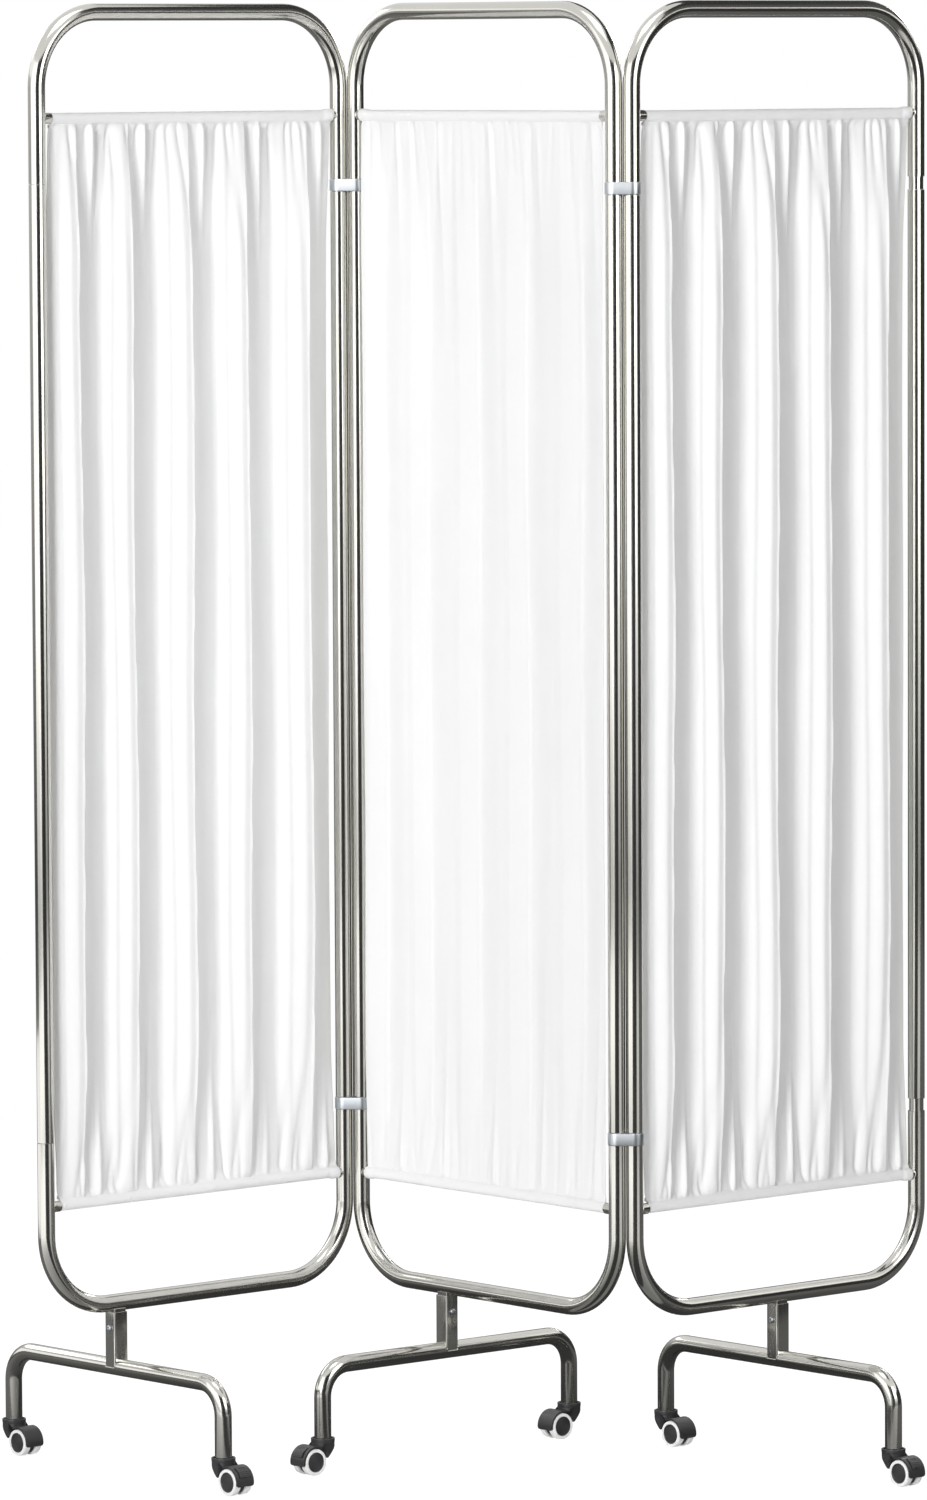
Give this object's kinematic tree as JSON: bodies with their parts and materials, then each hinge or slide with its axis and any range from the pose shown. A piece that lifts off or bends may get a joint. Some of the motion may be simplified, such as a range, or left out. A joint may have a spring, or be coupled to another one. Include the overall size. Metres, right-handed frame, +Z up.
{
  "type": "ward privacy screen",
  "caption": "Folding ward privacy screen: tube-framed panels with gathered curtains, hinged by double-ring clips, on arched legs with twin-wheel swivel casters.",
  "frame": {"origin": "on the floor, under the middle of the unfolded screen's bounding box", "axes": "+Z up; X across the zigzag from the left panel to the right; +Y away from the side the casters trail to"},
  "size_m": [1.1502, 0.484, 1.8],
  "materials": {
    "satin_steel": "satin polished stainless tube",
    "bright_plating": "bright zinc or nickel plating",
    "white_cloth": "matt woven cotton-polyester curtain, gathered",
    "caster_plastic": "charcoal moulded plastic, fine satin",
    "caster_tread": "off-white nylon tread with dark hub cap"
  },
  "bodies": {
    "middle_panel": {"middle_back_caster_stem": "bright_plating", "middle_clamp_screw": "bright_plating", "middle_curtain": "white_cloth", "middle_front_caster_stem": "bright_plating", "middle_left_side_tube": "satin_steel", "middle_leg": "satin_steel", "middle_lower_bow": "satin_steel", "middle_lower_curtain_rod": "satin_steel", "middle_right_side_tube": "satin_steel", "middle_upper_bow": "satin_steel", "middle_upper_curtain_rod": "satin_steel"},
    "left_panel": {"left_back_caster_stem": "bright_plating", "left_clamp_screw": "bright_plating", "left_curtain": "white_cloth", "left_front_caster_stem": "bright_plating", "left_left_side_tube": "satin_steel", "left_leg": "satin_steel", "left_lower_bow": "satin_steel", "left_lower_curtain_rod": "satin_steel", "left_right_side_tube": "satin_steel", "left_upper_bow": "satin_steel", "left_upper_curtain_rod": "satin_steel"},
    "right_panel": {"right_back_caster_stem": "bright_plating", "right_clamp_screw": "bright_plating", "right_curtain": "white_cloth", "right_front_caster_stem": "bright_plating", "right_left_side_tube": "satin_steel", "right_leg": "satin_steel", "right_lower_bow": "satin_steel", "right_lower_curtain_rod": "satin_steel", "right_right_side_tube": "satin_steel", "right_upper_bow": "satin_steel", "right_upper_curtain_rod": "satin_steel"},
    "left_clips": {"left_lower_hinge_clip": "bright_plating", "left_upper_hinge_clip": "bright_plating"},
    "right_clips": {"right_lower_hinge_clip": "bright_plating", "right_upper_hinge_clip": "bright_plating"},
    "left_back_caster": {"left_back_caster_housing": "caster_plastic"},
    "left_back_caster_left_wheel": {"left_back_caster_left_wheel": "caster_tread"},
    "left_back_caster_right_wheel": {"left_back_caster_right_wheel": "caster_tread"},
    "left_front_caster_brake_pedal": {"left_front_caster_brake_pedal": "caster_plastic"},
    "left_front_caster": {"left_front_caster_housing": "caster_plastic"},
    "left_front_caster_left_wheel": {"left_front_caster_left_wheel": "caster_tread"},
    "left_front_caster_right_wheel": {"left_front_caster_right_wheel": "caster_tread"},
    "middle_back_caster": {"middle_back_caster_housing": "caster_plastic"},
    "middle_back_caster_left_wheel": {"middle_back_caster_left_wheel": "caster_tread"},
    "middle_back_caster_right_wheel": {"middle_back_caster_right_wheel": "caster_tread"},
    "middle_front_caster_brake_pedal": {"middle_front_caster_brake_pedal": "caster_plastic"},
    "middle_front_caster": {"middle_front_caster_housing": "caster_plastic"},
    "middle_front_caster_left_wheel": {"middle_front_caster_left_wheel": "caster_tread"},
    "middle_front_caster_right_wheel": {"middle_front_caster_right_wheel": "caster_tread"},
    "right_back_caster": {"right_back_caster_housing": "caster_plastic"},
    "right_back_caster_left_wheel": {"right_back_caster_left_wheel": "caster_tread"},
    "right_back_caster_right_wheel": {"right_back_caster_right_wheel": "caster_tread"},
    "right_front_caster_brake_pedal": {"right_front_caster_brake_pedal": "caster_plastic"},
    "right_front_caster": {"right_front_caster_housing": "caster_plastic"},
    "right_front_caster_left_wheel": {"right_front_caster_left_wheel": "caster_tread"},
    "right_front_caster_right_wheel": {"right_front_caster_right_wheel": "caster_tread"}
  },
  "joints": [
    {"name": "left_clip_turn", "type": "hinge", "parent": "middle_panel", "child": "left_clips", "pos_m": [-0.13393, 0.20316, 0.9], "axis": [0, 0, 1], "range_deg": [-90.6, 41]},
    {"name": "left_panel_fold", "type": "hinge", "parent": "left_clips", "child": "left_panel", "pos_m": [-0.15534, 0.20316, 0.9], "axis": [0, 0, 1], "range_deg": [-90.6, 41]},
    {"name": "right_clip_turn", "type": "hinge", "parent": "middle_panel", "child": "right_clips", "pos_m": [0.2033, -0.14122, 0.9], "axis": [0, 0, 1], "range_deg": [-68.1, 13.4]},
    {"name": "right_panel_fold", "type": "hinge", "parent": "right_clips", "child": "right_panel", "pos_m": [0.2247, -0.14122, 0.9], "axis": [0, 0, 1], "range_deg": [-68.1, 13.4]},
    {"name": "left_front_caster_swivel", "type": "hinge", "parent": "left_panel", "child": "left_front_caster", "pos_m": [-0.2723, -0.20464, 0.035], "axis": [0, 0, 1], "continuous": true},
    {"name": "left_front_caster_left_roll", "type": "hinge", "parent": "left_front_caster", "child": "left_front_caster_left_wheel", "pos_m": [-0.25687, -0.21975, 0.01667], "axis": [0.6997, 0.7145, 0], "continuous": true},
    {"name": "left_front_caster_right_roll", "type": "hinge", "parent": "left_front_caster", "child": "left_front_caster_right_wheel", "pos_m": [-0.25687, -0.21975, 0.01667], "axis": [0.6997, 0.7145, 0], "continuous": true},
    {"name": "left_front_caster_brake", "type": "hinge", "parent": "left_front_caster", "child": "left_front_caster_brake_pedal", "pos_m": [-0.25145, -0.22506, 0.03371], "axis": [-0.6997, -0.7145, 0], "range_deg": [0, 14]},
    {"name": "left_back_caster_swivel", "type": "hinge", "parent": "left_panel", "child": "left_back_caster", "pos_m": [-0.56059, 0.07767, 0.035], "axis": [0, 0, 1], "continuous": true},
    {"name": "left_back_caster_left_roll", "type": "hinge", "parent": "left_back_caster", "child": "left_back_caster_left_wheel", "pos_m": [-0.54516, 0.06256, 0.01667], "axis": [0.6997, 0.7145, 0], "continuous": true},
    {"name": "left_back_caster_right_roll", "type": "hinge", "parent": "left_back_caster", "child": "left_back_caster_right_wheel", "pos_m": [-0.54516, 0.06256, 0.01667], "axis": [0.6997, 0.7145, 0], "continuous": true},
    {"name": "middle_front_caster_swivel", "type": "hinge", "parent": "middle_panel", "child": "middle_front_caster", "pos_m": [-0.16361, -0.05489, 0.035], "axis": [0, 0, 1], "continuous": true},
    {"name": "middle_front_caster_left_roll", "type": "hinge", "parent": "middle_front_caster", "child": "middle_front_caster_left_wheel", "pos_m": [-0.17905, -0.07, 0.01667], "axis": [0.6997, -0.7145, 0], "continuous": true},
    {"name": "middle_front_caster_right_roll", "type": "hinge", "parent": "middle_front_caster", "child": "middle_front_caster_right_wheel", "pos_m": [-0.17905, -0.07, 0.01667], "axis": [0.6997, -0.7145, 0], "continuous": true},
    {"name": "middle_front_caster_brake", "type": "hinge", "parent": "middle_front_caster", "child": "middle_front_caster_brake_pedal", "pos_m": [-0.18447, -0.07531, 0.03371], "axis": [-0.6997, 0.7145, 0], "range_deg": [0, 14]},
    {"name": "middle_back_caster_swivel", "type": "hinge", "parent": "middle_panel", "child": "middle_back_caster", "pos_m": [0.12467, 0.22743, 0.035], "axis": [0, 0, 1], "continuous": true},
    {"name": "middle_back_caster_left_roll", "type": "hinge", "parent": "middle_back_caster", "child": "middle_back_caster_left_wheel", "pos_m": [0.10924, 0.21231, 0.01667], "axis": [0.6997, -0.7145, 0], "continuous": true},
    {"name": "middle_back_caster_right_roll", "type": "hinge", "parent": "middle_back_caster", "child": "middle_back_caster_right_wheel", "pos_m": [0.10924, 0.21231, 0.01667], "axis": [0.6997, -0.7145, 0], "continuous": true},
    {"name": "right_front_caster_swivel", "type": "hinge", "parent": "right_panel", "child": "right_front_caster", "pos_m": [0.53733, -0.11033, 0.035], "axis": [0, 0, 1], "continuous": true},
    {"name": "right_front_caster_left_roll", "type": "hinge", "parent": "right_front_caster", "child": "right_front_caster_left_wheel", "pos_m": [0.55276, -0.12544, 0.01667], "axis": [0.6997, 0.7145, 0], "continuous": true},
    {"name": "right_front_caster_right_roll", "type": "hinge", "parent": "right_front_caster", "child": "right_front_caster_right_wheel", "pos_m": [0.55276, -0.12544, 0.01667], "axis": [0.6997, 0.7145, 0], "continuous": true},
    {"name": "right_front_caster_brake", "type": "hinge", "parent": "right_front_caster", "child": "right_front_caster_brake_pedal", "pos_m": [0.55818, -0.13075, 0.03371], "axis": [-0.6997, -0.7145, 0], "range_deg": [0, 14]},
    {"name": "right_back_caster_swivel", "type": "hinge", "parent": "right_panel", "child": "right_back_caster", "pos_m": [0.24904, 0.17198, 0.035], "axis": [0, 0, 1], "continuous": true},
    {"name": "right_back_caster_left_roll", "type": "hinge", "parent": "right_back_caster", "child": "right_back_caster_left_wheel", "pos_m": [0.26447, 0.15687, 0.01667], "axis": [0.6997, 0.7145, 0], "continuous": true},
    {"name": "right_back_caster_right_roll", "type": "hinge", "parent": "right_back_caster", "child": "right_back_caster_right_wheel", "pos_m": [0.26447, 0.15687, 0.01667], "axis": [0.6997, 0.7145, 0], "continuous": true}
  ],
  "couplings": [
    {"joint": "left_clip_turn", "follows": "left_panel_fold", "ratio": 1},
    {"joint": "right_clip_turn", "follows": "right_panel_fold", "ratio": 1}
  ]
}
